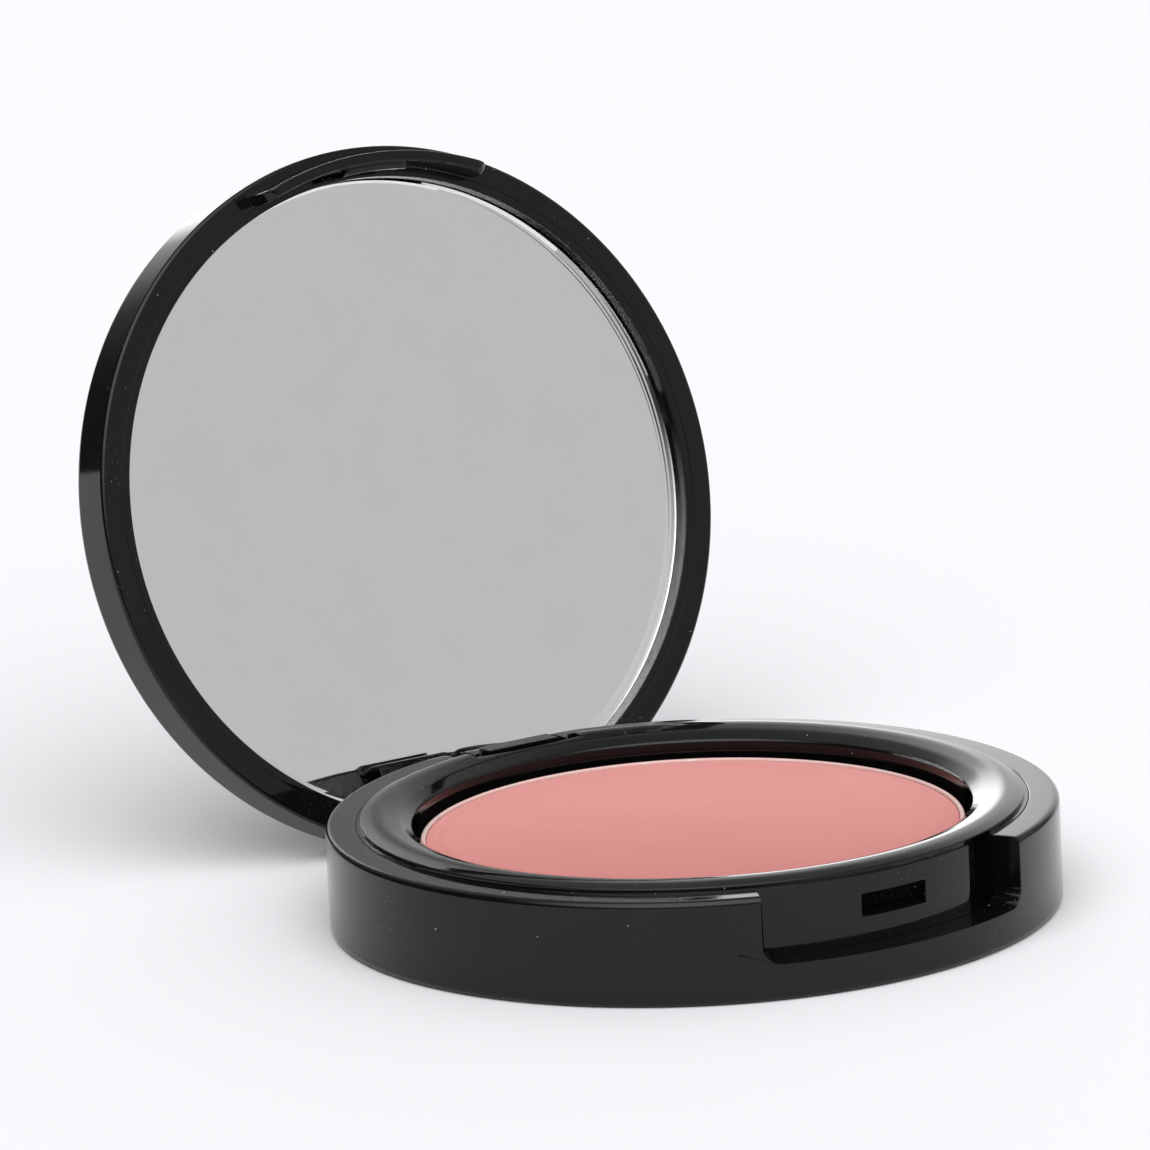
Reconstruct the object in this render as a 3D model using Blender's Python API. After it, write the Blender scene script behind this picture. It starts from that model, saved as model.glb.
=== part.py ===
"""Round powder compact: hinged mirror lid over a base that holds a pan of pressed powder.

Metres, Z up. The origin is the centre of the base's underside; the hinge is at +Y and the
latch at -Y. The pieces are built with the lid open, which is the resting pose.
"""

import math

import bmesh
import bpy
from mathutils import Matrix, Vector

MM = 0.001
SEGMENTS = 96

# overall sizes, mm
BODY_RADIUS = 29.8
BASE_HEIGHT = 8.55
LID_DEPTH = 4.86
SEAM_GAP = 0.10

# running clearances, mm
FIT_GAP = 0.10
RECESS_GAP = 0.70
HINGE_GAP = 0.25
SWEEP_GAP = 0.06
BORE_GAP = 0.09

# base shell, mm
FLOOR_THICK = 1.30
WALL_THICK = 2.50
FOOT_ROUND = 0.60
SHOULDER_ROUND = 0.35
CUP_RADIUS = BODY_RADIUS - WALL_THICK

# inner frame, mm
FRAME_RADIUS = CUP_RADIUS - FIT_GAP
FRAME_BOTTOM = FLOOR_THICK + FIT_GAP
FRAME_FLOOR_THICK = 1.00
FRAME_FLOOR = FRAME_BOTTOM + FRAME_FLOOR_THICK
CREST_RISE = 0.80
CREST_HEIGHT = BASE_HEIGHT + CREST_RISE
CREST_WIDTH = 4.50
FRAME_TAPER = 0.25
WELL_RADIUS = FRAME_RADIUS - CREST_WIDTH
WELL_UNDERCUT = 0.50

# pan and powder, mm
PAN_GAP = 0.60
PAN_WALL = 0.40
PAN_DROP = 2.35
ADHESIVE_THICK = 0.35
PAN_RADIUS = WELL_RADIUS - PAN_GAP
PAN_ADHESIVE_RADIUS = PAN_RADIUS - 4.90
ADHESIVE_BOTTOM = FRAME_FLOOR + FIT_GAP
PAN_BOTTOM = ADHESIVE_BOTTOM + ADHESIVE_THICK + FIT_GAP
PAN_RIM = CREST_HEIGHT - PAN_DROP
LIP_BOTTOM = PAN_RIM + 0.54
CAKE_DROP = 0.12
CAKE_DOME = 0.08
CAKE_RADIUS = PAN_RADIUS - PAN_WALL - FIT_GAP
CAKE_BOTTOM = PAN_BOTTOM + PAN_WALL + FIT_GAP
CAKE_TOP = PAN_RIM - CAKE_DROP

# lid, mm, measured with the lid closed
LID_FACE = BASE_HEIGHT + SEAM_GAP
LID_TOP = LID_FACE + LID_DEPTH
LID_PLATE = 1.06
LID_WALL = 1.90
LID_CAVITY_RADIUS = BODY_RADIUS - LID_WALL
LID_CAVITY_TOP = LID_TOP - LID_PLATE
LID_CHAMFER = 0.55

# mirror and the ring that holds it, mm
RING_RADIUS = LID_CAVITY_RADIUS - FIT_GAP
RING_OPENING = FRAME_RADIUS - FRAME_TAPER + 0.20
RING_PLATE = 0.60
RING_FACE = LID_FACE + 0.05
RING_TOP = LID_CAVITY_TOP - FIT_GAP
MIRROR_RADIUS = RING_OPENING - FIT_GAP
MIRROR_FACE = CREST_HEIGHT + RECESS_GAP
MIRROR_BEVEL = 1.0
MIRROR_BEVEL_DROP = 0.30
MIRROR_ADHESIVE_RADIUS = MIRROR_RADIUS - 6.05
MIRROR_ADHESIVE_THICK = 0.25
MIRROR_ADHESIVE_TOP = RING_TOP - RING_PLATE - FIT_GAP
MIRROR_ADHESIVE_BOTTOM = MIRROR_ADHESIVE_TOP - MIRROR_ADHESIVE_THICK
MIRROR_BACK = MIRROR_ADHESIVE_BOTTOM - FIT_GAP

# hinge, mm and degrees
HINGE_Y = BODY_RADIUS - 2.20
HINGE_Z = 2.95
OPEN_ANGLE = 105.0
PIN_RADIUS = 0.60
BORE_RADIUS = PIN_RADIUS + BORE_GAP
KNUCKLE_RADIUS = 1.60
LUG_HALF_WIDTH = 3.40
ARM_WIDTH = 1.40
ARM_INNER = LUG_HALF_WIDTH + HINGE_GAP
ARM_OUTER = ARM_INNER + ARM_WIDTH
HINGE_HALF_WIDTH = ARM_OUTER + HINGE_GAP
LUG_FRONT = HINGE_Y - 2.70
LUG_CREST_BACK = FRAME_RADIUS - 0.60
LUG_CREST_DROP = 0.10
LUG_SIDE_GAP = 1.90
LUG_GAP_DEPTH = 1.30
LUG_BACK_DROP = 0.60
ARM_FRONT = HINGE_Y - 0.45
POCKET_TOP = HINGE_Z + 2.30
PIN_HALF_LENGTH = ARM_OUTER - 0.15
RIM_SWEEP = LID_FACE - HINGE_Z - SWEEP_GAP
HEEL_CLEARANCE = 0.08

# latch, mm and degrees from the front
LATCH_ANGLE = 1.5
NOTCH_HALF = 25.2
NOTCH_FLOOR = 3.00
NOTCH_ROUND = 1.5
TAB_HALF = 22.5
TAB_DROP = 3.20
TAB_INNER = LID_CAVITY_RADIUS + 0.15
TAB_THICK = 0.90
TAB_ROUND = 1.2
HOOK_HALF = 6.0
HOOK_REACH = 0.65
HOOK_HEIGHT = 1.0
SLOT_HALF = 6.6
SLOT_DEPTH = 1.2
SLOT_LEAN = 0.9
SLOT_MARGIN = 0.42
SCALLOP_INNER = 18.0
SCALLOP_OUTER = NOTCH_HALF + 0.6
SCALLOP_DEPTH = 1.7
THUMB_HALF = 28.0
THUMB_DEPTH = 1.1
THUMB_LIP = 0.9

BLACK = (0.012, 0.012, 0.014, 1.0)
BLUSH = (0.86, 0.37, 0.32, 1.0)
TIN = (0.70, 0.70, 0.71, 1.0)
SILVER = (0.86, 0.86, 0.87, 1.0)
STEEL = (0.60, 0.60, 0.62, 1.0)
WHITE_FILM = (0.80, 0.80, 0.78, 1.0)


def clear_scene():
    """Empty the scene."""
    for obj in list(bpy.data.objects):
        bpy.data.objects.remove(obj, do_unlink=True)


def material(name, colour, roughness, metallic):
    """One surface finish."""
    mat = bpy.data.materials.new(name)
    mat.use_nodes = True
    shader = mat.node_tree.nodes["Principled BSDF"]
    shader.inputs["Base Color"].default_value = colour
    shader.inputs["Roughness"].default_value = roughness
    shader.inputs["Metallic"].default_value = metallic
    return mat


def as_object(name, bm, move=None, origin=(0.0, 0.0, 0.0)):
    """Turn a body in millimetres into an object whose origin is the given point in metres."""
    if move is not None:
        bmesh.ops.transform(bm, matrix=move, verts=bm.verts)
    bmesh.ops.recalc_face_normals(bm, faces=bm.faces)
    bmesh.ops.scale(bm, vec=(MM, MM, MM), verts=bm.verts)
    bmesh.ops.translate(bm, vec=-Vector(origin), verts=bm.verts)
    mesh = bpy.data.meshes.new(name)
    bm.to_mesh(mesh)
    bm.free()
    obj = bpy.data.objects.new(name, mesh)
    obj.location = origin
    bpy.context.scene.collection.objects.link(obj)
    return obj


def revolved(profile):
    """Body of revolution from (radius, height) corners; the ends may lie on the axis."""
    bm = bmesh.new()
    rings = []
    for radius, height in profile:
        if radius == 0.0:
            rings.append([bm.verts.new((0.0, 0.0, height))])
            continue
        ring = []
        for i in range(SEGMENTS):
            turn = 2.0 * math.pi * i / SEGMENTS
            ring.append(bm.verts.new((radius * math.sin(turn), -radius * math.cos(turn), height)))
        rings.append(ring)
    on_axis = len(rings[0]) == 1
    pairs = list(zip(rings, rings[1:]))
    if not on_axis:
        pairs.append((rings[-1], rings[0]))
    for low, high in pairs:
        join_rings(bm, low, high)
    return bm


def join_rings(bm, low, high):
    """Skin between two neighbouring rings."""
    for i in range(SEGMENTS):
        j = (i + 1) % SEGMENTS
        if len(low) == 1:
            bm.faces.new((low[0], high[i], high[j]))
        elif len(high) == 1:
            bm.faces.new((low[i], low[j], high[0]))
        else:
            bm.faces.new((low[i], low[j], high[j], high[i]))


def box(low, high):
    """Rectangular block between two corners."""
    bm = bmesh.new()
    bmesh.ops.create_cube(bm, size=1.0)
    for vert in bm.verts:
        for axis in range(3):
            vert.co[axis] = low[axis] if vert.co[axis] < 0.0 else high[axis]
    return bm


def sector(start, stop, inner, outer, low, high, corner=0.0, lean_out=0.0):
    """Block bent around the axis, from start to stop degrees.

    Its lower corners may be round, and the top of its inner wall may lean outwards.
    """
    middle = 0.5 * (inner + outer)
    turn = math.degrees(corner / middle)
    steps = max(2, round((stop - start - 2.0 * turn) / 3.75))
    stations = []
    if corner > 0.0:
        for i in range(4):
            lean = math.radians(90.0 * i / 4.0)
            stations.append((start + turn * (1.0 - math.cos(lean)), low + corner * (1.0 - math.sin(lean))))
    for i in range(steps + 1):
        stations.append((start + turn + (stop - start - 2.0 * turn) * i / steps, low))
    if corner > 0.0:
        for i in range(3, -1, -1):
            lean = math.radians(90.0 * i / 4.0)
            stations.append((stop - turn * (1.0 - math.cos(lean)), low + corner * (1.0 - math.sin(lean))))
    bm = bmesh.new()
    columns = []
    for angle, floor in stations:
        side = math.sin(math.radians(angle))
        ahead = -math.cos(math.radians(angle))
        column = []
        for radius, height in ((inner, floor), (outer, floor), (outer, high), (inner + lean_out, high)):
            column.append(bm.verts.new((radius * side, radius * ahead, height)))
        columns.append(column)
    for left, right in zip(columns, columns[1:]):
        for k in range(4):
            bm.faces.new((left[k], right[k], right[(k + 1) % 4], left[(k + 1) % 4]))
    bm.faces.new(columns[0])
    bm.faces.new(tuple(reversed(columns[-1])))
    return bm


def slab(outline, left, right):
    """Plate between two X positions, with a (y, z) outline."""
    bm = bmesh.new()
    near = [bm.verts.new((left, y, z)) for y, z in outline]
    far = [bm.verts.new((right, y, z)) for y, z in outline]
    count = len(outline)
    for i in range(count):
        j = (i + 1) % count
        bm.faces.new((near[i], near[j], far[j], far[i]))
    bm.faces.new(tuple(reversed(near)))
    bm.faces.new(far)
    return bm


def rod(radius, left, right, sides=24):
    """Round bar along X on the hinge line."""
    outline = []
    for i in range(sides):
        turn = 2.0 * math.pi * (i + 0.5) / sides
        outline.append((HINGE_Y + radius * math.cos(turn), HINGE_Z + radius * math.sin(turn)))
    return slab(outline, left, right)


def lid_move():
    """Turn about the hinge line that takes the closed lid to its open place."""
    hinge = Vector((0.0, HINGE_Y, HINGE_Z))
    turn = Matrix.Rotation(-math.radians(OPEN_ANGLE), 4, "X")
    return Matrix.Translation(hinge) @ turn @ Matrix.Translation(-hinge)


def hinge_origin():
    """Point on the hinge line, in metres."""
    return (0.0, HINGE_Y * MM, HINGE_Z * MM)


def apply_tool(target, tool, operation):
    """Cut or join with a helper body that is not part of the object."""
    tool.hide_render = True
    tool.display_type = "WIRE"
    modifier = target.modifiers.new(tool.name, "BOOLEAN")
    modifier.operation = operation
    modifier.solver = "EXACT"
    modifier.object = tool


def cut(target, tool):
    """Take the tool away from the target."""
    apply_tool(target, tool, "DIFFERENCE")


def fuse(target, tool):
    """Join the tool to the target."""
    apply_tool(target, tool, "UNION")


def rim_path_outline():
    """Side outline of the space the lid's back rim passes through, above the base's back edge."""
    outline = []
    for i in range(9):
        lean = math.radians(90.0 - 40.0 * i / 8.0)
        outline.append((HINGE_Y + RIM_SWEEP * math.cos(lean), HINGE_Z + RIM_SWEEP * math.sin(lean)))
    outline.append((BODY_RADIUS + 3.0, outline[-1][1]))
    outline.append((BODY_RADIUS + 3.0, LID_FACE + 2.0))
    outline.append((HINGE_Y, LID_FACE + 2.0))
    return outline


def base_shell(mat):
    """Outer cup: floor, wall, ledge, latch notch and hinge lug."""
    top = BASE_HEIGHT
    profile = [
        (0.0, 0.0),
        (BODY_RADIUS - FOOT_ROUND, 0.0),
        (BODY_RADIUS - 0.3 * FOOT_ROUND, 0.3 * FOOT_ROUND),
        (BODY_RADIUS, FOOT_ROUND),
        (BODY_RADIUS, top - SHOULDER_ROUND - 0.05),
        (BODY_RADIUS - 0.3 * SHOULDER_ROUND, top - 0.3 * SHOULDER_ROUND - 0.05),
        (BODY_RADIUS - SHOULDER_ROUND, top - 0.05),
        (BODY_RADIUS - 0.5 * WALL_THICK, top),
        (CUP_RADIUS, top),
        (CUP_RADIUS, FLOOR_THICK),
        (0.0, FLOOR_THICK),
    ]
    shell = as_object("base_shell", revolved(profile))
    lug_back = (LUG_HALF_WIDTH, HINGE_Y + 0.9, top - LUG_BACK_DROP)
    lug = box((-LUG_HALF_WIDTH, LUG_FRONT, 0.5 * FLOOR_THICK), lug_back)
    fuse(shell, as_object("lug_tool", lug))
    head_top = CREST_HEIGHT - LUG_CREST_DROP
    head = box((-LUG_HALF_WIDTH, LUG_FRONT, 0.5 * top), (LUG_HALF_WIDTH, LUG_CREST_BACK, head_top))
    fuse(shell, as_object("lug_head_tool", head))
    notch = sector(
        LATCH_ANGLE - NOTCH_HALF,
        LATCH_ANGLE + NOTCH_HALF,
        CUP_RADIUS - 1.5,
        BODY_RADIUS + 2.0,
        NOTCH_FLOOR,
        top + 3.0,
        NOTCH_ROUND,
    )
    cut(shell, as_object("notch_tool", notch))
    for side, name in ((-1.0, "left_pocket_tool"), (1.0, "right_pocket_tool")):
        edges = sorted((side * (LUG_HALF_WIDTH + 0.01), side * HINGE_HALF_WIDTH))
        pocket = box(
            (edges[0], HINGE_Y - KNUCKLE_RADIUS - 0.30, 0.60),
            (edges[1], BODY_RADIUS + 2.0, top + 3.0),
        )
        cut(shell, as_object(name, pocket))
    bore = rod(BORE_RADIUS, -LUG_HALF_WIDTH - 1.0, LUG_HALF_WIDTH + 1.0)
    cut(shell, as_object("lug_bore_tool", bore))
    rim_path = slab(rim_path_outline(), -0.5 * BODY_RADIUS, 0.5 * BODY_RADIUS)
    cut(shell, as_object("rim_path_tool", rim_path))
    shell.data.materials.append(mat)
    return shell


def pan_frame(mat):
    """Inner frame: raised rounded ring, undercut well, latch slot, finger scallop and hinge clearance."""
    crest = CREST_HEIGHT
    profile = [
        (0.0, FRAME_BOTTOM),
        (FRAME_RADIUS, FRAME_BOTTOM),
        (FRAME_RADIUS, BASE_HEIGHT - 0.10),
        (FRAME_RADIUS - 0.05, BASE_HEIGHT - 0.05),
        (FRAME_RADIUS - FRAME_TAPER, BASE_HEIGHT - 0.02),
        (FRAME_RADIUS - FRAME_TAPER - 0.03, crest - 0.52),
        (FRAME_RADIUS - 0.42, crest - 0.40),
        (FRAME_RADIUS - 0.95, crest - 0.16),
        (FRAME_RADIUS - 1.45, crest - 0.02),
        (FRAME_RADIUS - 1.80, crest),
        (FRAME_RADIUS - 2.30, crest - 0.08),
        (WELL_RADIUS + 1.45, crest - 0.28),
        (WELL_RADIUS + 0.75, crest - 0.56),
        (WELL_RADIUS + 0.30, crest - 0.82),
        (WELL_RADIUS + 0.08, crest - 1.04),
        (WELL_RADIUS, crest - 1.28),
        (WELL_RADIUS, LIP_BOTTOM),
        (WELL_RADIUS + WELL_UNDERCUT, LIP_BOTTOM),
        (WELL_RADIUS + WELL_UNDERCUT, FRAME_FLOOR),
        (0.0, FRAME_FLOOR),
    ]
    frame = as_object("pan_frame", revolved(profile))
    far = BODY_RADIUS + 2.0
    high = crest + 2.0
    inner = LUG_FRONT - 0.40
    half = LUG_HALF_WIDTH + HINGE_GAP
    lug_gap = box((-half, inner, -1.0), (half, far, high))
    cut(frame, as_object("lug_gap_tool", lug_gap))
    wide = LUG_HALF_WIDTH + LUG_SIDE_GAP
    crest_gap = box((-wide, inner - 0.3, crest - LUG_GAP_DEPTH), (wide, far + 0.3, high + 0.3))
    cut(frame, as_object("crest_gap_tool", crest_gap))
    reach = HINGE_Y - KNUCKLE_RADIUS - 0.40
    arm_gap = box((-HINGE_HALF_WIDTH - 0.1, reach, -1.5), (HINGE_HALF_WIDTH + 0.1, far + 0.5, POCKET_TOP))
    cut(frame, as_object("arm_gap_tool", arm_gap))
    slot = sector(
        LATCH_ANGLE - SLOT_HALF,
        LATCH_ANGLE + SLOT_HALF,
        FRAME_RADIUS - SLOT_DEPTH,
        FRAME_RADIUS + 1.0,
        LID_FACE - TAB_DROP + 0.1 - SLOT_MARGIN,
        LID_FACE - TAB_DROP + 0.1 + HOOK_HEIGHT + SLOT_MARGIN,
        0.0,
        SLOT_LEAN,
    )
    cut(frame, as_object("slot_tool", slot))
    scallop = sector(
        LATCH_ANGLE + SCALLOP_INNER,
        LATCH_ANGLE + SCALLOP_OUTER,
        FRAME_RADIUS - SCALLOP_DEPTH,
        FRAME_RADIUS + 1.5,
        NOTCH_FLOOR - 0.05,
        BASE_HEIGHT + 0.25,
    )
    cut(frame, as_object("scallop_tool", scallop))
    frame.data.materials.append(mat)
    return frame


def pan(mat):
    """Shallow metal pan with a rolled rim."""
    inner = PAN_RADIUS - PAN_WALL
    profile = [
        (0.0, PAN_BOTTOM),
        (PAN_RADIUS - 0.35, PAN_BOTTOM),
        (PAN_RADIUS - 0.10, PAN_BOTTOM + 0.10),
        (PAN_RADIUS, PAN_BOTTOM + 0.35),
        (PAN_RADIUS, PAN_RIM - 0.10),
        (PAN_RADIUS - 0.10, PAN_RIM),
        (inner + 0.10, PAN_RIM),
        (inner, PAN_RIM - 0.10),
        (inner, PAN_BOTTOM + PAN_WALL),
        (0.0, PAN_BOTTOM + PAN_WALL),
    ]
    obj = as_object("pan", revolved(profile))
    obj.data.materials.append(mat)
    return obj


def powder_cake(mat):
    """Pressed powder with a slightly rounded edge and a very low dome."""
    profile = [
        (0.0, CAKE_BOTTOM),
        (CAKE_RADIUS, CAKE_BOTTOM),
        (CAKE_RADIUS, CAKE_TOP - 0.22),
        (CAKE_RADIUS - 0.08, CAKE_TOP - 0.08),
        (CAKE_RADIUS - 0.35, CAKE_TOP),
        (CAKE_RADIUS * 0.5, CAKE_TOP + 0.75 * CAKE_DOME),
        (0.0, CAKE_TOP + CAKE_DOME),
    ]
    obj = as_object("powder_cake", revolved(profile))
    obj.data.materials.append(mat)
    return obj


def disc(name, radius, low, high, mat, lid=False):
    """Plain round film."""
    profile = [(0.0, low), (radius, low), (radius, high), (0.0, high)]
    if lid:
        obj = as_object(name, revolved(profile), lid_move(), hinge_origin())
    else:
        obj = as_object(name, revolved(profile))
    obj.data.materials.append(mat)
    return obj


def hinge_pin(mat):
    """Metal rod through the lug and both arms."""
    origin = hinge_origin()
    obj = as_object("hinge_pin", rod(PIN_RADIUS, -PIN_HALF_LENGTH, PIN_HALF_LENGTH), None, origin)
    obj.data.materials.append(mat)
    return obj


def arm_outline():
    """Side outline of a hinge arm with the lid closed: round knuckle below, root in the rim above."""
    outline = []
    for i in range(13):
        lean = math.radians(180.0 + 180.0 * i / 12.0)
        outline.append((HINGE_Y + KNUCKLE_RADIUS * math.cos(lean), HINGE_Z + KNUCKLE_RADIUS * math.sin(lean)))
    rise = LID_FACE
    outline.append((HINGE_Y + 1.20, HINGE_Z + 2.2))
    outline.append((HINGE_Y + 1.20, rise + 0.55))
    outline.append((HINGE_Y + 0.40, rise + 0.55))
    outline.append((HINGE_Y + 0.40, rise - 0.20))
    outline.append((ARM_FRONT, rise - 0.65))
    outline.append((ARM_FRONT, HINGE_Z + 2.2))
    return outline


def lid_shell(mat):
    """Lid: back plate, wall, flat rim, latch tab with hook, thumb recess and hinge arms."""
    move = lid_move()
    origin = hinge_origin()
    face = LID_FACE
    top = LID_TOP
    profile = [
        (LID_CAVITY_RADIUS, face),
        (BODY_RADIUS - 0.35, face),
        (BODY_RADIUS - 0.10, face + 0.10),
        (BODY_RADIUS, face + 0.35),
        (BODY_RADIUS, top - 0.90),
        (BODY_RADIUS - 0.12, top - 0.50),
        (BODY_RADIUS - 0.45, top - 0.17),
        (BODY_RADIUS - 0.95, top - 0.02),
        (BODY_RADIUS - 3.0, top),
        (0.0, top + 0.02),
        (0.0, LID_CAVITY_TOP),
        (LID_CAVITY_RADIUS - LID_CHAMFER, LID_CAVITY_TOP),
        (LID_CAVITY_RADIUS, LID_CAVITY_TOP - LID_CHAMFER),
    ]
    shell = as_object("lid_shell", lid_body(profile), move, origin)
    tab = sector(
        LATCH_ANGLE - TAB_HALF,
        LATCH_ANGLE + TAB_HALF,
        TAB_INNER,
        TAB_INNER + TAB_THICK,
        face - TAB_DROP,
        face + 0.60,
        TAB_ROUND,
    )
    fuse(shell, as_object("tab_tool", tab, move, origin))
    hook = sector(
        LATCH_ANGLE - HOOK_HALF,
        LATCH_ANGLE + HOOK_HALF,
        TAB_INNER - HOOK_REACH,
        TAB_INNER + 0.40,
        face - TAB_DROP + 0.1,
        face - TAB_DROP + 0.1 + HOOK_HEIGHT,
    )
    fuse(shell, as_object("hook_tool", hook, move, origin))
    thumb = sector(
        LATCH_ANGLE - THUMB_HALF,
        LATCH_ANGLE + THUMB_HALF,
        BODY_RADIUS - THUMB_DEPTH,
        BODY_RADIUS + 2.0,
        face + THUMB_LIP,
        top + 2.0,
        1.0,
    )
    cut(shell, as_object("thumb_tool", thumb, move, origin))
    for side, name in ((-1.0, "left_arm_tool"), (1.0, "right_arm_tool")):
        edges = sorted((side * ARM_INNER, side * ARM_OUTER))
        fuse(shell, as_object(name, slab(arm_outline(), edges[0], edges[1]), move, origin))
    bore = rod(BORE_RADIUS, -ARM_OUTER - 1.0, ARM_OUTER + 1.0)
    cut(shell, as_object("arm_bore_tool", bore, move, origin))
    heel = box((-BODY_RADIUS, BODY_RADIUS + 0.5, -12.0), (BODY_RADIUS, 3.0 * BODY_RADIUS, HEEL_CLEARANCE))
    cut(shell, as_object("heel_tool", heel))
    shell.data.materials.append(mat)
    return shell


def lid_body(profile):
    """Open-bottomed body of revolution whose middle corners lie on the axis."""
    split = 0
    for i, corner in enumerate(profile):
        if corner[0] == 0.0:
            split = i
            break
    return revolved(profile[split + 1:] + profile[:split + 1])


def mirror_frame(mat):
    """Tray in the lid: flat plate with a thin upright ring around the mirror."""
    profile = [
        (0.0, RING_TOP - RING_PLATE),
        (RING_OPENING, RING_TOP - RING_PLATE),
        (RING_OPENING, RING_FACE + 0.08),
        (RING_OPENING + 0.08, RING_FACE),
        (RING_RADIUS - 0.08, RING_FACE),
        (RING_RADIUS, RING_FACE + 0.08),
        (RING_RADIUS, RING_TOP - LID_CHAMFER),
        (RING_RADIUS - LID_CHAMFER, RING_TOP),
        (0.0, RING_TOP),
    ]
    obj = as_object("mirror_frame", revolved(profile), lid_move(), hinge_origin())
    obj.data.materials.append(mat)
    return obj


def mirror(mat):
    """Round mirror with a bevelled edge."""
    profile = [
        (0.0, MIRROR_FACE),
        (MIRROR_RADIUS - MIRROR_BEVEL, MIRROR_FACE),
        (MIRROR_RADIUS, MIRROR_FACE + MIRROR_BEVEL_DROP),
        (MIRROR_RADIUS, MIRROR_BACK),
        (0.0, MIRROR_BACK),
    ]
    obj = as_object("mirror", revolved(profile), lid_move(), hinge_origin())
    obj.data.materials.append(mat)
    return obj


def build():
    """Make every piece."""
    clear_scene()
    base_shell(material("base_black", BLACK, 0.16, 0.0))
    pan_frame(material("frame_black", BLACK, 0.10, 0.0))
    film = material("pan_film", WHITE_FILM, 0.6, 0.0)
    disc("pan_adhesive", PAN_ADHESIVE_RADIUS, ADHESIVE_BOTTOM, ADHESIVE_BOTTOM + ADHESIVE_THICK, film)
    pan(material("pan_tin", TIN, 0.28, 1.0))
    powder_cake(material("powder_blush", BLUSH, 0.9, 0.0))
    hinge_pin(material("pin_steel", STEEL, 0.22, 1.0))
    lid_shell(material("lid_black", BLACK, 0.14, 0.0))
    mirror_frame(material("mirror_frame_black", BLACK, 0.12, 0.0))
    film = material("mirror_film", WHITE_FILM, 0.6, 0.0)
    disc("mirror_adhesive", MIRROR_ADHESIVE_RADIUS, MIRROR_ADHESIVE_BOTTOM, MIRROR_ADHESIVE_TOP, film, True)
    mirror(material("mirror_silver", SILVER, 0.02, 1.0))


build()
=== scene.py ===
"""Looks of the round powder compact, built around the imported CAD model.

Bodies are shaped in millimetres with the lid closed. The lid's pieces are then turned about
the hinge line to the open resting pose, and every piece is scaled to metres.
"""

import math

import bmesh
import bpy
from mathutils import Matrix, Vector, noise


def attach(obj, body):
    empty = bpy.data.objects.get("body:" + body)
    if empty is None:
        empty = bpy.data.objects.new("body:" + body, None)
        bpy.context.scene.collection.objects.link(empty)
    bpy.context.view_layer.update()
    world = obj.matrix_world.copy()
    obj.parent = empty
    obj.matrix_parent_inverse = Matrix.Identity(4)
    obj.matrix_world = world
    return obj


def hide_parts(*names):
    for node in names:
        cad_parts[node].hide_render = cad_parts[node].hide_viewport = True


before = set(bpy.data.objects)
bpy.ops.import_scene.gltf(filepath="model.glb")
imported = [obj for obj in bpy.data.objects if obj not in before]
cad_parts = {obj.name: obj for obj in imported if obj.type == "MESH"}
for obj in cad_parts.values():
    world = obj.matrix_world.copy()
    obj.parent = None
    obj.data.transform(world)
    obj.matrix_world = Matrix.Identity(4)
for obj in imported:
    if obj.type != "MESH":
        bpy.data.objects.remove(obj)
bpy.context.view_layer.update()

MM = 0.001
SEGMENTS = 288

# overall sizes and clearances, mm
BODY_RADIUS = 29.8
BASE_HEIGHT = 8.55
LID_DEPTH = 4.86
SEAM_GAP = 0.10
FIT_GAP = 0.10
RECESS_GAP = 0.70
HINGE_GAP = 0.25
SWEEP_GAP = 0.06

# base shell and inner frame, mm
FLOOR_THICK = 1.30
BASE_FOOT_ROUND = 0.60
BASE_SHOULDER_ROUND = 0.55
WALL_THICK = 2.50
CUP_RADIUS = BODY_RADIUS - WALL_THICK
FRAME_RADIUS = CUP_RADIUS - FIT_GAP
FRAME_BOTTOM = FLOOR_THICK + FIT_GAP
FRAME_FLOOR = FRAME_BOTTOM + 1.00
FRAME_TAPER = 0.25
CREST_HEIGHT = BASE_HEIGHT + 0.80
WELL_RADIUS = FRAME_RADIUS - 4.50
WELL_UNDERCUT = 0.50

# pan and powder, mm
PAN_RADIUS = WELL_RADIUS - 0.60
PAN_WALL = 0.40
PAN_BOTTOM = FRAME_FLOOR + 2.0 * FIT_GAP + 0.35
PAN_RIM = CREST_HEIGHT - 2.35
LIP_BOTTOM = PAN_RIM + 0.54
CAKE_RADIUS = PAN_RADIUS - PAN_WALL - 0.03
CAKE_BOTTOM = PAN_BOTTOM + PAN_WALL + FIT_GAP
CAKE_TOP = PAN_RIM - 0.04
CAKE_BAND = 1.05

# lid, mirror and the ring that holds it, mm, lid closed
LID_FACE = BASE_HEIGHT + SEAM_GAP
LID_TOP = LID_FACE + LID_DEPTH
LID_CAVITY_RADIUS = BODY_RADIUS - 1.90
LID_CAVITY_TOP = LID_TOP - 1.06
LID_CHAMFER = 0.55
RING_RADIUS = LID_CAVITY_RADIUS - FIT_GAP
RING_OPENING = FRAME_RADIUS - FRAME_TAPER + 0.20
RING_STAND = 0.02
RING_SIDE_GAP = 0.02
RING_TOP = LID_CAVITY_TOP - FIT_GAP
RING_PLATE = 0.60
MIRROR_RADIUS = RING_OPENING - 0.03
MIRROR_FACE = CREST_HEIGHT + RECESS_GAP
MIRROR_BACK = RING_TOP - RING_PLATE - 2.0 * FIT_GAP - 0.25
GLASS_THICK = 0.50
BEVEL_WIDTH = 0.55
BEVEL_DROP = 0.20
BEVEL_SHIFT = (-0.24, -0.30)
SILVER_GAP = 0.02

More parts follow.
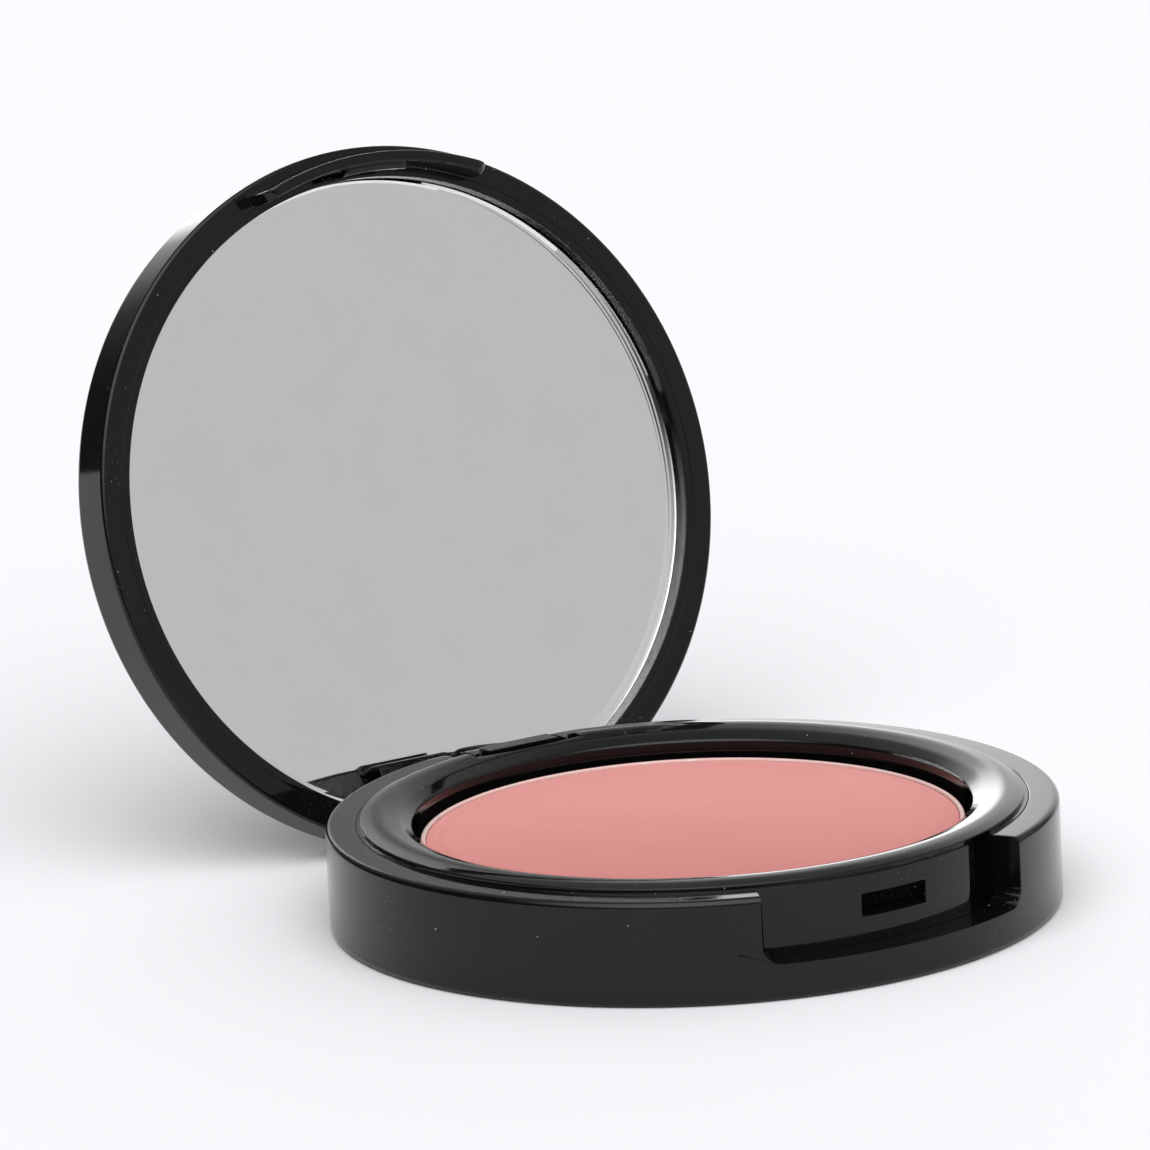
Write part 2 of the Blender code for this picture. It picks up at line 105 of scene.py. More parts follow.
# hinge, mm and degrees
HINGE_Y = BODY_RADIUS - 2.20
HINGE_Z = 2.95
OPEN_ANGLE = 105.0
PIN_RADIUS = 0.60
BORE_RADIUS = PIN_RADIUS + 0.09
KNUCKLE_RADIUS = 1.60
LUG_HALF_WIDTH = 3.40
ARM_INNER = LUG_HALF_WIDTH + HINGE_GAP
ARM_OUTER = ARM_INNER + 1.40
HINGE_HALF_WIDTH = ARM_OUTER + HINGE_GAP
LUG_FRONT = HINGE_Y - 2.70
LUG_CREST_BACK = FRAME_RADIUS - 0.60
LUG_CREST_DROP = 0.10
LUG_SIDE_GAP = 1.90
LUG_GAP_DEPTH = 1.30
LUG_BACK_DROP = 0.60
LUG_TAIL = 0.9
ARM_FRONT = HINGE_Y - 0.45
POCKET_TOP = HINGE_Z + 2.30
RIM_SWEEP = LID_FACE - HINGE_Z - SWEEP_GAP
HEEL_CLEARANCE = 0.08

# latch, mm and degrees from the front
LATCH_ANGLE = 1.5
NOTCH_HALF = 25.2
NOTCH_FLOOR = 3.00
NOTCH_ROUND = 1.5
TAB_HALF = 22.5
TAB_DROP = 3.20
TAB_INNER = LID_CAVITY_RADIUS + 0.15
TAB_THICK = 0.90
TAB_ROUND = 1.2
HOOK_HALF = 6.0
HOOK_REACH = 0.65
HOOK_HEIGHT = 1.0
HOOK_RISE = 0.1
SLOT_HALF = 6.6
SLOT_DEPTH = 1.2
SLOT_LEAN = 0.9
SLOT_MARGIN = 0.42
SCALLOP_INNER = 18.0
SCALLOP_OUTER = NOTCH_HALF + 0.6
SCALLOP_DEPTH = 1.7
THUMB_HALF = 28.0
THUMB_DEPTH = 1.1
THUMB_LIP = 0.9

EDGE_ROUND = 0.07

# refractive indices
PLASTIC_IOR = 1.38
GLASS_IOR = 1.51

# floor, metres
PAPER_HALF = 6.0
PAPER_DROP = 0.00002

# soft boxes: degrees from +Y towards +X, degrees up, inner and outer half spread in degrees, level
SURROUND = 0.05
SOFT_BOXES = (
    (25.0, 8.0, 4.0, 14.0, 2.5),     # low key behind the right side
    (35.0, 10.0, 0.0, 38.0, 1.2),    # broad fill around the key
    (150.0, 12.0, 0.0, 50.0, 0.5),   # front fill, seen in the mirror
    (100.0, 30.0, 0.0, 40.0, 0.5),   # right side
    (20.0, 50.0, 0.0, 50.0, 0.5),    # above the back
    (215.0, 55.0, 0.0, 50.0, 3.0),   # overhead from the front left, lights the floor
)

# view: degrees from the front towards the right, degrees up, degrees of roll, metres, millimetres
VIEW_AZIMUTH = -33.5
VIEW_ELEVATION = 14.5
VIEW_ROLL = -2.7
VIEW_DISTANCE = 0.70
VIEW_LENS = 270.0
SENSOR = 36.0
VIEW_CENTRE_HEIGHT = 0.008
# the base sits this far right of and below the middle of the view, in metres
VIEW_RIGHT = 0.0095
VIEW_BELOW = 0.0193


# ---------------------------------------------------------------- shapes

def rounded(corners, steps=6):
    """Profile through (radius, height, rounding) corners, each rounded by its own radius."""
    points = []
    count = len(corners)
    for i, (r, z, size) in enumerate(corners):
        here = Vector((r, z))
        if size <= 0.0:
            points.append((r, z))
            continue
        before = (Vector(corners[i - 1][:2]) - here).normalized()
        after = (Vector(corners[(i + 1) % count][:2]) - here).normalized()
        opening = before.angle(after)
        reach = size / math.tan(0.5 * opening)
        middle = here + (before + after).normalized() * (size / math.sin(0.5 * opening))
        start = here + before * reach - middle
        turn = math.pi - opening
        if start.x * (after * reach + here - middle).y - start.y * (after * reach + here - middle).x < 0.0:
            turn = -turn
        for k in range(steps + 1):
            lean = turn * k / steps
            x = start.x * math.cos(lean) - start.y * math.sin(lean)
            y = start.x * math.sin(lean) + start.y * math.cos(lean)
            points.append((middle.x + x, middle.y + y))
    return points


def revolved(profile, segments=SEGMENTS):
    """Body of revolution from (radius, height) points; the ends may lie on the axis."""
    bm = bmesh.new()
    rings = []
    for radius, height in profile:
        if radius == 0.0:
            rings.append([bm.verts.new((0.0, 0.0, height))])
            continue
        ring = []
        for i in range(segments):
            turn = 2.0 * math.pi * i / segments
            ring.append(bm.verts.new((radius * math.sin(turn), -radius * math.cos(turn), height)))
        rings.append(ring)
    pairs = list(zip(rings, rings[1:]))
    if len(rings[0]) > 1:
        pairs.append((rings[-1], rings[0]))
    for low, high in pairs:
        for i in range(segments):
            j = (i + 1) % segments
            if len(low) == 1:
                bm.faces.new((low[0], high[i], high[j]))
            elif len(high) == 1:
                bm.faces.new((low[i], low[j], high[0]))
            else:
                bm.faces.new((low[i], low[j], high[j], high[i]))
    bmesh.ops.recalc_face_normals(bm, faces=bm.faces)
    return bm


def box(low, high):
    """Rectangular block between two corners."""
    bm = bmesh.new()
    bmesh.ops.create_cube(bm, size=1.0)
    for vert in bm.verts:
        for axis in range(3):
            vert.co[axis] = low[axis] if vert.co[axis] < 0.0 else high[axis]
    return bm


def sector(start, stop, inner, outer, low, high, corner=0.0, edge=0.0, lean_out=0.0):
    """Block bent around the axis; its lower end corners and lower long edges may be round.

    The top of its inner wall may lean outwards.
    """
    turn = math.degrees(corner / (0.5 * (inner + outer)))
    steps = max(4, round((stop - start - 2.0 * turn) / 1.25))
    stations = []
    arc = 8 if corner > 0.0 else 0
    for i in range(arc):
        lean = math.radians(90.0 * i / arc)
        stations.append((start + turn * (1.0 - math.cos(lean)), low + corner * (1.0 - math.sin(lean))))
    for i in range(steps + 1):
        stations.append((start + turn + (stop - start - 2.0 * turn) * i / steps, low))
    for i in range(arc - 1, -1, -1):
        lean = math.radians(90.0 * i / arc)
        stations.append((stop - turn * (1.0 - math.cos(lean)), low + corner * (1.0 - math.sin(lean))))
    bm = bmesh.new()
    columns = []
    for angle, floor in stations:
        side = math.sin(math.radians(angle))
        ahead = -math.cos(math.radians(angle))
        corners = [(inner, floor, edge), (outer, floor, edge), (outer, high, 0.0)]
        corners.append((inner + lean_out, high, 0.0))
        section = rounded(corners, 4)
        columns.append([bm.verts.new((r * side, r * ahead, z)) for r, z in section])
    count = len(columns[0])
    for left, right in zip(columns, columns[1:]):
        for k in range(count):
            bm.faces.new((left[k], right[k], right[(k + 1) % count], left[(k + 1) % count]))
    bm.faces.new(columns[0])
    bm.faces.new(tuple(reversed(columns[-1])))
    bmesh.ops.recalc_face_normals(bm, faces=bm.faces)
    return bm


def slab(outline, left, right):
    """Plate between two X positions, with a (y, z) outline."""
    bm = bmesh.new()
    near = [bm.verts.new((left, y, z)) for y, z in outline]
    far = [bm.verts.new((right, y, z)) for y, z in outline]
    count = len(outline)
    for i in range(count):
        j = (i + 1) % count
        bm.faces.new((near[i], near[j], far[j], far[i]))
    bm.faces.new(tuple(reversed(near)))
    bm.faces.new(far)
    bmesh.ops.recalc_face_normals(bm, faces=bm.faces)
    return bm


def rod(radius, left, right, sides=48):
    """Round bar along X on the hinge line."""
    outline = []
    for i in range(sides):
        turn = 2.0 * math.pi * (i + 0.5) / sides
        outline.append((HINGE_Y + radius * math.cos(turn), HINGE_Z + radius * math.sin(turn)))
    return slab(outline, left, right)


def scratch_object(bm):
    """Throw-away object that holds a body while it is being carved."""
    mesh = bpy.data.meshes.new("scratch")
    bm.to_mesh(mesh)
    bm.free()
    obj = bpy.data.objects.new("scratch", mesh)
    bpy.context.scene.collection.objects.link(obj)
    return obj


def carved(body, steps):
    """The body after cutting and joining helper bodies, each given as (operation, body)."""
    target = scratch_object(body)
    used = [target]
    for operation, tool in steps:
        helper = scratch_object(tool)
        used.append(helper)
        carve = target.modifiers.new("carve", "BOOLEAN")
        carve.operation = operation
        carve.solver = "EXACT"
        carve.object = helper
    bpy.context.view_layer.update()
    seen = target.evaluated_get(bpy.context.evaluated_depsgraph_get())
    mesh = bpy.data.meshes.new_from_object(seen)
    bm = bmesh.new()
    bm.from_mesh(mesh)
    bpy.data.meshes.remove(mesh)
    for obj in used:
        data = obj.data
        bpy.data.objects.remove(obj, do_unlink=True)
        bpy.data.meshes.remove(data)
    bmesh.ops.remove_doubles(bm, verts=bm.verts, dist=0.004)
    bmesh.ops.dissolve_degenerate(bm, edges=bm.edges, dist=0.002)
    return bm


def soften(bm, width, least=40.0):
    """Round every edge sharper than the given angle."""
    sharp = []
    for edge in bm.edges:
        if len(edge.link_faces) == 2 and math.degrees(edge.calc_face_angle(0.0)) > least:
            sharp.append(edge)
    bmesh.ops.bevel(
        bm,
        geom=sharp,
        offset=width,
        offset_type="OFFSET",
        segments=2,
        profile=0.5,
        affect="EDGES",
        clamp_overlap=False,
        miter_outer="ARC",
    )


def lid_move():
    """Turn about the hinge line that takes the closed lid to its open place."""
    hinge = Vector((0.0, HINGE_Y, HINGE_Z))
    turn = Matrix.Rotation(-math.radians(OPEN_ANGLE), 4, "X")
    return Matrix.Translation(hinge) @ turn @ Matrix.Translation(-hinge)


def as_piece(name, bm, mat, body, node, crease=32.0):
    """Finished piece in metres, standing for a CAD node and riding on its body."""
    bmesh.ops.scale(bm, vec=(MM, MM, MM), verts=bm.verts)
    mesh = bpy.data.meshes.new(name)
    bm.to_mesh(mesh)
    bm.free()
    mesh.shade_smooth()
    mesh.set_sharp_from_angle(angle=math.radians(crease))
    piece = bpy.data.objects.new(name, mesh)
    bpy.context.scene.collection.objects.link(piece)
    mesh.materials.append(mat)
    level = piece.modifiers.new("level", "WEIGHTED_NORMAL")
    level.keep_sharp = True
    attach(piece, body)
    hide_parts(node)
    return piece


# ---------------------------------------------------------------- base pieces

def rim_path_outline():
    """Side outline of the space the lid's back rim passes through."""
    outline = []
    for i in range(17):
        lean = math.radians(90.0 - 40.0 * i / 16.0)
        outline.append((HINGE_Y + RIM_SWEEP * math.cos(lean), HINGE_Z + RIM_SWEEP * math.sin(lean)))
    outline.append((BODY_RADIUS + 3.0, outline[-1][1]))
    outline.append((BODY_RADIUS + 3.0, LID_FACE + 2.0))
    outline.append((HINGE_Y, LID_FACE + 2.0))
    return outline


def base_shell(mat):
    """Outer cup: floor, wall, ledge, latch notch and hinge lug."""
    top = BASE_HEIGHT
    body = revolved(rounded([
        (0.0, 0.0, 0.0),
        (BODY_RADIUS, 0.0, BASE_FOOT_ROUND),
        (BODY_RADIUS, top, BASE_SHOULDER_ROUND),
        (CUP_RADIUS, top, 0.12),
        (CUP_RADIUS, FLOOR_THICK, 0.20),
        (0.0, FLOOR_THICK, 0.0),
    ], 7))
    lug_back = (LUG_HALF_WIDTH, HINGE_Y + LUG_TAIL, top - LUG_BACK_DROP)
    lug = box((-LUG_HALF_WIDTH, LUG_FRONT, 0.5 * FLOOR_THICK), lug_back)
    notch = sector(
        LATCH_ANGLE - NOTCH_HALF,
        LATCH_ANGLE + NOTCH_HALF,
        CUP_RADIUS - 1.5,
        BODY_RADIUS + 2.0,
        NOTCH_FLOOR,
        top + 3.0,
        NOTCH_ROUND,
    )
    head_low = (-LUG_HALF_WIDTH, LUG_FRONT, 0.5 * top)
    head = box(head_low, (LUG_HALF_WIDTH, LUG_CREST_BACK, CREST_HEIGHT - LUG_CREST_DROP))
    steps = [("UNION", lug), ("UNION", head), ("DIFFERENCE", notch)]
    for side in (-1.0, 1.0):
        edges = sorted((side * (LUG_HALF_WIDTH + 0.01), side * HINGE_HALF_WIDTH))
        low = (edges[0], HINGE_Y - KNUCKLE_RADIUS - 0.30, 0.60)
        steps.append(("DIFFERENCE", box(low, (edges[1], BODY_RADIUS + 2.0, top + 3.0))))
    steps.append(("DIFFERENCE", rod(BORE_RADIUS, -LUG_HALF_WIDTH - 1.0, LUG_HALF_WIDTH + 1.0)))
    steps.append(("DIFFERENCE", slab(rim_path_outline(), -0.5 * BODY_RADIUS, 0.5 * BODY_RADIUS)))
    bm = carved(body, steps)
    soften(bm, EDGE_ROUND)
    return as_piece("base_shell_detail", bm, mat, "base", "base_shell")


def pan_frame(mat):
    """Inner frame: raised rounded ring, well for the pan, latch slot and hinge clearance."""
    crest = CREST_HEIGHT
    side = FRAME_RADIUS - FRAME_TAPER
    rim = CUP_RADIUS - 0.03
    body = revolved(rounded([
        (0.0, FRAME_BOTTOM, 0.0),
        (rim, FRAME_BOTTOM, 0.15),
        (rim, BASE_HEIGHT - 0.01, 0.04),
        (side + 0.02, BASE_HEIGHT - 0.01, 0.02),
        (side - 0.01, crest - 0.44, 0.14),
        (FRAME_RADIUS - 1.65, crest + 0.03, 2.90),
        (WELL_RADIUS + 1.10, crest - 0.41, 2.20),
        (WELL_RADIUS, crest - 1.02, 0.34),
        (WELL_RADIUS, LIP_BOTTOM, 0.08),
        (WELL_RADIUS + WELL_UNDERCUT, LIP_BOTTOM, 0.0),
        (WELL_RADIUS + WELL_UNDERCUT, FRAME_FLOOR, 0.0),
        (0.0, FRAME_FLOOR, 0.0),
    ], 9))
    far = BODY_RADIUS + 2.0
    high = crest + 2.0
    half = LUG_HALF_WIDTH + HINGE_GAP
    wide = LUG_HALF_WIDTH + LUG_SIDE_GAP
    lug_low = (-half, LUG_FRONT - 0.40, -1.0)
    gap_low = (-wide, LUG_FRONT - 0.70, crest - LUG_GAP_DEPTH)
    arm_low = (-HINGE_HALF_WIDTH - 0.1, HINGE_Y - KNUCKLE_RADIUS - 0.40, -1.5)
    slot = sector(
        LATCH_ANGLE - SLOT_HALF,
        LATCH_ANGLE + SLOT_HALF,
        FRAME_RADIUS - SLOT_DEPTH,
        FRAME_RADIUS + 1.0,
        LID_FACE - TAB_DROP + HOOK_RISE - SLOT_MARGIN,
        LID_FACE - TAB_DROP + HOOK_RISE + HOOK_HEIGHT + SLOT_MARGIN,
        lean_out=SLOT_LEAN,
    )
    scallop = sector(
        LATCH_ANGLE + SCALLOP_INNER,
        LATCH_ANGLE + SCALLOP_OUTER,
        FRAME_RADIUS - SCALLOP_DEPTH,
        FRAME_RADIUS + 1.5,
        NOTCH_FLOOR - 0.05,
        BASE_HEIGHT + 0.25,
    )
    steps = [
        ("DIFFERENCE", box(lug_low, (half, far, high))),
        ("DIFFERENCE", box(gap_low, (wide, far + 0.3, high + 0.3))),
        ("DIFFERENCE", box(arm_low, (HINGE_HALF_WIDTH + 0.1, far + 0.5, POCKET_TOP))),
        ("DIFFERENCE", slot),
        ("DIFFERENCE", scallop),
    ]
    bm = carved(body, steps)
    soften(bm, EDGE_ROUND)
    return as_piece("pan_frame_detail", bm, mat, "base", "pan_frame")


def pan(mat):
    """Shallow metal pan with a rolled rim."""
    inner = PAN_RADIUS - PAN_WALL
    bm = revolved(rounded([
        (0.0, PAN_BOTTOM, 0.0),
        (PAN_RADIUS, PAN_BOTTOM, 0.35),
        (PAN_RADIUS, PAN_RIM, 0.16),
        (inner, PAN_RIM, 0.16),
        (inner, PAN_BOTTOM + PAN_WALL, 0.08),
        (0.0, PAN_BOTTOM + PAN_WALL, 0.0),
    ], 5))
    return as_piece("pan_detail", bm, mat, "base", "pan")


def powder_height(r):
    """Height of the pressed surface at a radius: low dome, fine pressing line, sloping band."""
    inner = CAKE_RADIUS - CAKE_BAND
    if r <= inner:
        return CAKE_TOP + 0.04 * (1.0 - (r / inner) ** 2)
    t = (r - inner) / CAKE_BAND
    groove = 0.035 * math.exp(-((t - 0.06) / 0.06) ** 2)
    return CAKE_TOP - groove - 0.10 * t - 0.10 * t ** 3


def powder_cake(mat):
    """Pressed powder with a granular top and a sloping band along its edge."""
    radii = [0.25 + 0.35 * i for i in range(57)]
    edge = CAKE_RADIUS - CAKE_BAND
    radii += [edge + CAKE_BAND * k / 20.0 for k in range(20)]
    profile = [(0.0, powder_height(0.0))]
    profile += [(r, powder_height(r)) for r in radii]
    profile.append((CAKE_RADIUS - 0.02, powder_height(CAKE_RADIUS) - 0.02))
    profile.append((CAKE_RADIUS, powder_height(CAKE_RADIUS) - 0.10))
    profile.append((CAKE_RADIUS, CAKE_BOTTOM))
    profile.append((0.0, CAKE_BOTTOM))
    bm = revolved(profile)
    lowest = powder_height(CAKE_RADIUS) - 0.06
    for vert in bm.verts:
        if vert.co.z > lowest:
            spot = vert.co
            rough = 0.010 * noise.noise(spot * 0.55) + 0.006 * noise.noise(spot * 2.3)
            vert.co.z += rough + 0.004 * noise.noise(spot * 6.1)
    return as_piece("powder_detail", bm, mat, "base", "powder_cake", 60.0)


# ---------------------------------------------------------------- lid pieces

def arm_outline():
    """Side outline of a hinge arm with the lid closed."""
    outline = []
    for i in range(25):
        lean = math.radians(180.0 + 180.0 * i / 24.0)
        y = HINGE_Y + KNUCKLE_RADIUS * math.cos(lean)
        z = HINGE_Z + KNUCKLE_RADIUS * math.sin(lean)
        outline.append((y, z))
    rise = LID_FACE
    outline.append((HINGE_Y + 1.20, HINGE_Z + 2.2))
    outline.append((HINGE_Y + 1.20, rise + 0.55))
    outline.append((HINGE_Y + 0.40, rise + 0.55))
    outline.append((HINGE_Y + 0.40, rise - 0.20))
    outline.append((ARM_FRONT, rise - 0.65))
    outline.append((ARM_FRONT, HINGE_Z + 2.2))
    return outline


def lid_shell(mat):
    """Lid: back plate, wall, flat rim, latch tab with hook, thumb recess and hinge arms."""
    face = LID_FACE
    top = LID_TOP
    body = revolved(rounded([
        (0.0, LID_CAVITY_TOP, 0.0),
        (LID_CAVITY_RADIUS - LID_CHAMFER, LID_CAVITY_TOP, 0.0),
        (LID_CAVITY_RADIUS, LID_CAVITY_TOP - LID_CHAMFER, 0.0),
        (LID_CAVITY_RADIUS, face, 0.03),
        (BODY_RADIUS, face, 0.34),
        (BODY_RADIUS, top - 0.01, 0.95),
        (BODY_RADIUS - 4.0, top, 0.0),
        (0.0, top + 0.02, 0.0),
    ], 8))
    tab = sector(
        LATCH_ANGLE - TAB_HALF,
        LATCH_ANGLE + TAB_HALF,
        TAB_INNER,
        TAB_INNER + TAB_THICK,
        face - TAB_DROP,
        face + 0.60,
        TAB_ROUND,
        0.16,
    )
    hook = sector(
        LATCH_ANGLE - HOOK_HALF,
        LATCH_ANGLE + HOOK_HALF,
        TAB_INNER - HOOK_REACH,
        TAB_INNER + 0.40,
        face - TAB_DROP + HOOK_RISE,
        face - TAB_DROP + HOOK_RISE + HOOK_HEIGHT,
    )
    thumb = sector(
        LATCH_ANGLE - THUMB_HALF,
        LATCH_ANGLE + THUMB_HALF,
        BODY_RADIUS - THUMB_DEPTH,
        BODY_RADIUS + 2.0,
        face + THUMB_LIP,
        top + 2.0,
        1.0,
    )
    steps = [("UNION", tab), ("UNION", hook), ("DIFFERENCE", thumb)]
    for side in (-1.0, 1.0):
        edges = sorted((side * ARM_INNER, side * ARM_OUTER))
        steps.append(("UNION", slab(arm_outline(), edges[0], edges[1])))
    steps.append(("DIFFERENCE", rod(BORE_RADIUS, -ARM_OUTER - 1.0, ARM_OUTER + 1.0)))
    heel = box((-BODY_RADIUS, BODY_RADIUS + 0.5, -12.0), (BODY_RADIUS, 3.0 * BODY_RADIUS, HEEL_CLEARANCE))
    bmesh.ops.transform(heel, matrix=lid_move().inverted(), verts=heel.verts)
    steps.append(("DIFFERENCE", heel))
    bm = carved(body, steps)
    soften(bm, EDGE_ROUND)
    bmesh.ops.transform(bm, matrix=lid_move(), verts=bm.verts)
    return as_piece("lid_shell_detail", bm, mat, "lid", "lid_shell")


def mirror_frame(mat):
    """Tray in the lid: flat plate with a thin upright ring around the mirror."""
    outer = LID_CAVITY_RADIUS - RING_SIDE_GAP
    bm = revolved(rounded([
        (0.0, RING_TOP - RING_PLATE, 0.0),
        (RING_OPENING, RING_TOP - RING_PLATE, 0.0),
        (RING_OPENING, LID_FACE + RING_STAND, 0.08),
        (outer, LID_FACE + RING_STAND, 0.03),
        (outer, RING_TOP - LID_CHAMFER, 0.0),
        (RING_RADIUS - LID_CHAMFER, RING_TOP, 0.0),
        (0.0, RING_TOP, 0.0),
    ], 5))
    bmesh.ops.transform(bm, matrix=lid_move(), verts=bm.verts)
    return as_piece("mirror_frame_detail", bm, mat, "lid", "mirror_frame")


def mirror(glass, silver):
    """Round glass with a slightly uneven bevel, on the silvered plate behind it."""
    rear = MIRROR_FACE + GLASS_THICK
    bm = revolved([
        (0.0, MIRROR_FACE),
        (MIRROR_RADIUS - BEVEL_WIDTH, MIRROR_FACE),
        (MIRROR_RADIUS, MIRROR_FACE + BEVEL_DROP),
        (MIRROR_RADIUS, rear),
        (0.0, rear),
    ])
    for vert in bm.verts:
        if vert.co.z < MIRROR_FACE + 0.5 * BEVEL_DROP:
            vert.co.x += BEVEL_SHIFT[0]
            vert.co.y += BEVEL_SHIFT[1]
    bmesh.ops.transform(bm, matrix=lid_move(), verts=bm.verts)
    as_piece("mirror_glass_detail", bm, glass, "lid", "mirror", 8.0)
    bm = revolved([
        (0.0, rear - SILVER_GAP),
        (MIRROR_RADIUS - SILVER_GAP, rear - SILVER_GAP),
        (MIRROR_RADIUS - SILVER_GAP, MIRROR_BACK),
        (0.0, MIRROR_BACK),
    ])
    bmesh.ops.transform(bm, matrix=lid_move(), verts=bm.verts)
    as_piece("mirror_silver_detail", bm, silver, "lid", "mirror", 8.0)


# ---------------------------------------------------------------- materials

class Nodes:
    """Small helper for wiring a material's node tree."""

    def __init__(self, name):
        self.mat = bpy.data.materials.new(name)
        self.mat.use_nodes = True
        self.tree = self.mat.node_tree
        self.shader = self.tree.nodes["Principled BSDF"]
        self.place = self.add("ShaderNodeTexCoord").outputs["Object"]

    def add(self, kind, **values):
        node = self.tree.nodes.new(kind)
        for key, value in values.items():
            setattr(node, key, value)
        return node

    def link(self, output, target):
        self.tree.links.new(output, target)

    def fill(self, target, value):
        """Set or link a socket."""
        if isinstance(value, bpy.types.NodeSocket):
            self.link(value, target)
        else:
            target.default_value = value

    def noise(self, scale, detail=3.0, roughness=0.5, place=None):
        node = self.add("ShaderNodeTexNoise")
        self.link(place or self.place, node.inputs["Vector"])
        node.inputs["Scale"].default_value = scale
        node.inputs["Detail"].default_value = detail
        node.inputs["Roughness"].default_value = roughness
        return node.outputs["Fac"]

    def stretched(self, scale):
        node = self.add("ShaderNodeMapping")
        self.link(self.place, node.inputs["Vector"])
        node.inputs["Scale"].default_value = scale
        return node.outputs["Vector"]

    def remap(self, value, low, high, to_low, to_high):
        node = self.add("ShaderNodeMapRange")
        self.fill(node.inputs["Value"], value)
        node.inputs["From Min"].default_value = low
        node.inputs["From Max"].default_value = high
        node.inputs["To Min"].default_value = to_low
        node.inputs["To Max"].default_value = to_high
        return node.outputs["Result"]

    def math(self, operation, a, b=0.0):
        node = self.add("ShaderNodeMath", operation=operation)
        self.fill(node.inputs[0], a)
        self.fill(node.inputs[1], b)
        return node.outputs[0]

    def mix(self, factor, a, b):
        node = self.add("ShaderNodeMix", data_type="RGBA")
        self.fill(node.inputs[0], factor)
        self.fill(node.inputs[6], a)
        self.fill(node.inputs[7], b)
        return node.outputs[2]

    def specks(self, scale, size, share, seed):
        """1 on small round specks scattered over the surface, 0 elsewhere."""
        shift = self.add("ShaderNodeMapping")
        self.link(self.place, shift.inputs["Vector"])
        shift.inputs["Location"].default_value = (seed, 0.37 * seed, -0.61 * seed)
        cells = self.add("ShaderNodeTexVoronoi", feature="F1")
        self.link(shift.outputs["Vector"], cells.inputs["Vector"])
        cells.inputs["Scale"].default_value = scale
        spot = self.remap(cells.outputs["Distance"], size, 0.6 * size, 0.0, 1.0)
        parts = self.add("ShaderNodeSeparateColor")
        self.link(cells.outputs["Color"], parts.inputs["Color"])
        chosen = self.remap(parts.outputs[0], 1.0 - share, 1.0 - share + 0.01, 0.0, 1.0)
        return self.math("MULTIPLY", spot, chosen)

    def bump(self, height, strength, distance):
        node = self.add("ShaderNodeBump")
        self.link(height, node.inputs["Height"])
        node.inputs["Strength"].default_value = strength
        node.inputs["Distance"].default_value = distance
        self.link(node.outputs["Normal"], self.shader.inputs["Normal"])


def black_plastic(name, gloss, dust, seed):
    """Polished black moulded plastic with faint smears, hairline scratches and dust."""
    n = Nodes(name)
    smear = n.noise(160.0, 4.0, 0.6)
    specks = n.math(
        "MAXIMUM",
        n.specks(1500.0, 0.085, dust, seed),
        n.specks(620.0, 0.05, 1.6 * dust, seed + 0.4),
    )
    clusters = n.remap(n.noise(90.0, 2.0), 0.52, 0.66, 0.0, 1.0)
    fine = n.math("MULTIPLY", n.specks(4200.0, 0.16, 0.20, seed + 0.9), clusters)
    specks = n.math("MAXIMUM", specks, n.math("MULTIPLY", fine, 0.5))
    tone = n.mix(smear, (0.0022, 0.0022, 0.0026, 1.0), (0.0048, 0.0046, 0.0050, 1.0))
    n.link(n.mix(specks, tone, (0.50, 0.49, 0.48, 1.0)), n.shader.inputs["Base Color"])
    polish = n.remap(smear, 0.35, 0.75, gloss, gloss + 0.05)
    n.link(n.math("MAXIMUM", polish, n.math("MULTIPLY", specks, 0.85)), n.shader.inputs["Roughness"])
    n.shader.inputs["IOR"].default_value = PLASTIC_IOR
    scratches = n.noise(900.0, 2.0, 0.5, n.stretched((1.0, 0.06, 1.0)))
    n.bump(n.math("ADD", n.math("MULTIPLY", scratches, 0.12), specks), 0.12, 0.00004)
    return n.mat


def pressed_powder():
    """Matte pink pressed powder with fine grain, and painted shade that darkens it towards the front left.
    """
    n = Nodes("pressed_powder")
    broad = n.noise(95.0, 3.0, 0.55)
    grain = n.noise(5200.0, 4.0, 0.7)
    flecks = n.specks(3400.0, 0.22, 0.10, 3.1)
    tone = n.mix(broad, (0.600, 0.216, 0.198, 1.0), (0.650, 0.250, 0.230, 1.0))
    tone = n.mix(n.remap(grain, 0.30, 0.70, 0.0, 0.20), tone, (0.74, 0.37, 0.345, 1.0))
    tone = n.mix(n.math("MULTIPLY", flecks, 0.35), tone, (0.50, 0.16, 0.14, 1.0))
    # Painted shade: the colour is darkened towards the front left, standing in for light that falls from
    # the back right.
    parts = n.add("ShaderNodeSeparateXYZ")
    n.link(n.place, parts.inputs["Vector"])
    across = n.math("ADD", n.math("MULTIPLY", parts.outputs["X"], 0.5), parts.outputs["Y"])
    painted_shade = n.remap(n.math("ADD", across, n.math("MULTIPLY", broad, 0.006)), -0.020, 0.012, 0.80, 0.0)
    tone = n.mix(painted_shade, tone, (0.485, 0.155, 0.142, 1.0))
    n.link(tone, n.shader.inputs["Base Color"])
    n.shader.inputs["Roughness"].default_value = 0.92
    n.shader.inputs["Diffuse Roughness"].default_value = 0.8
    n.shader.inputs["Specular IOR Level"].default_value = 0.25
    n.shader.inputs["Sheen Weight"].default_value = 0.12
    n.shader.inputs["Sheen Roughness"].default_value = 0.6
    n.bump(n.math("ADD", grain, n.math("MULTIPLY", n.noise(1400.0, 3.0), 0.8)), 0.30, 0.00003)
    return n.mat


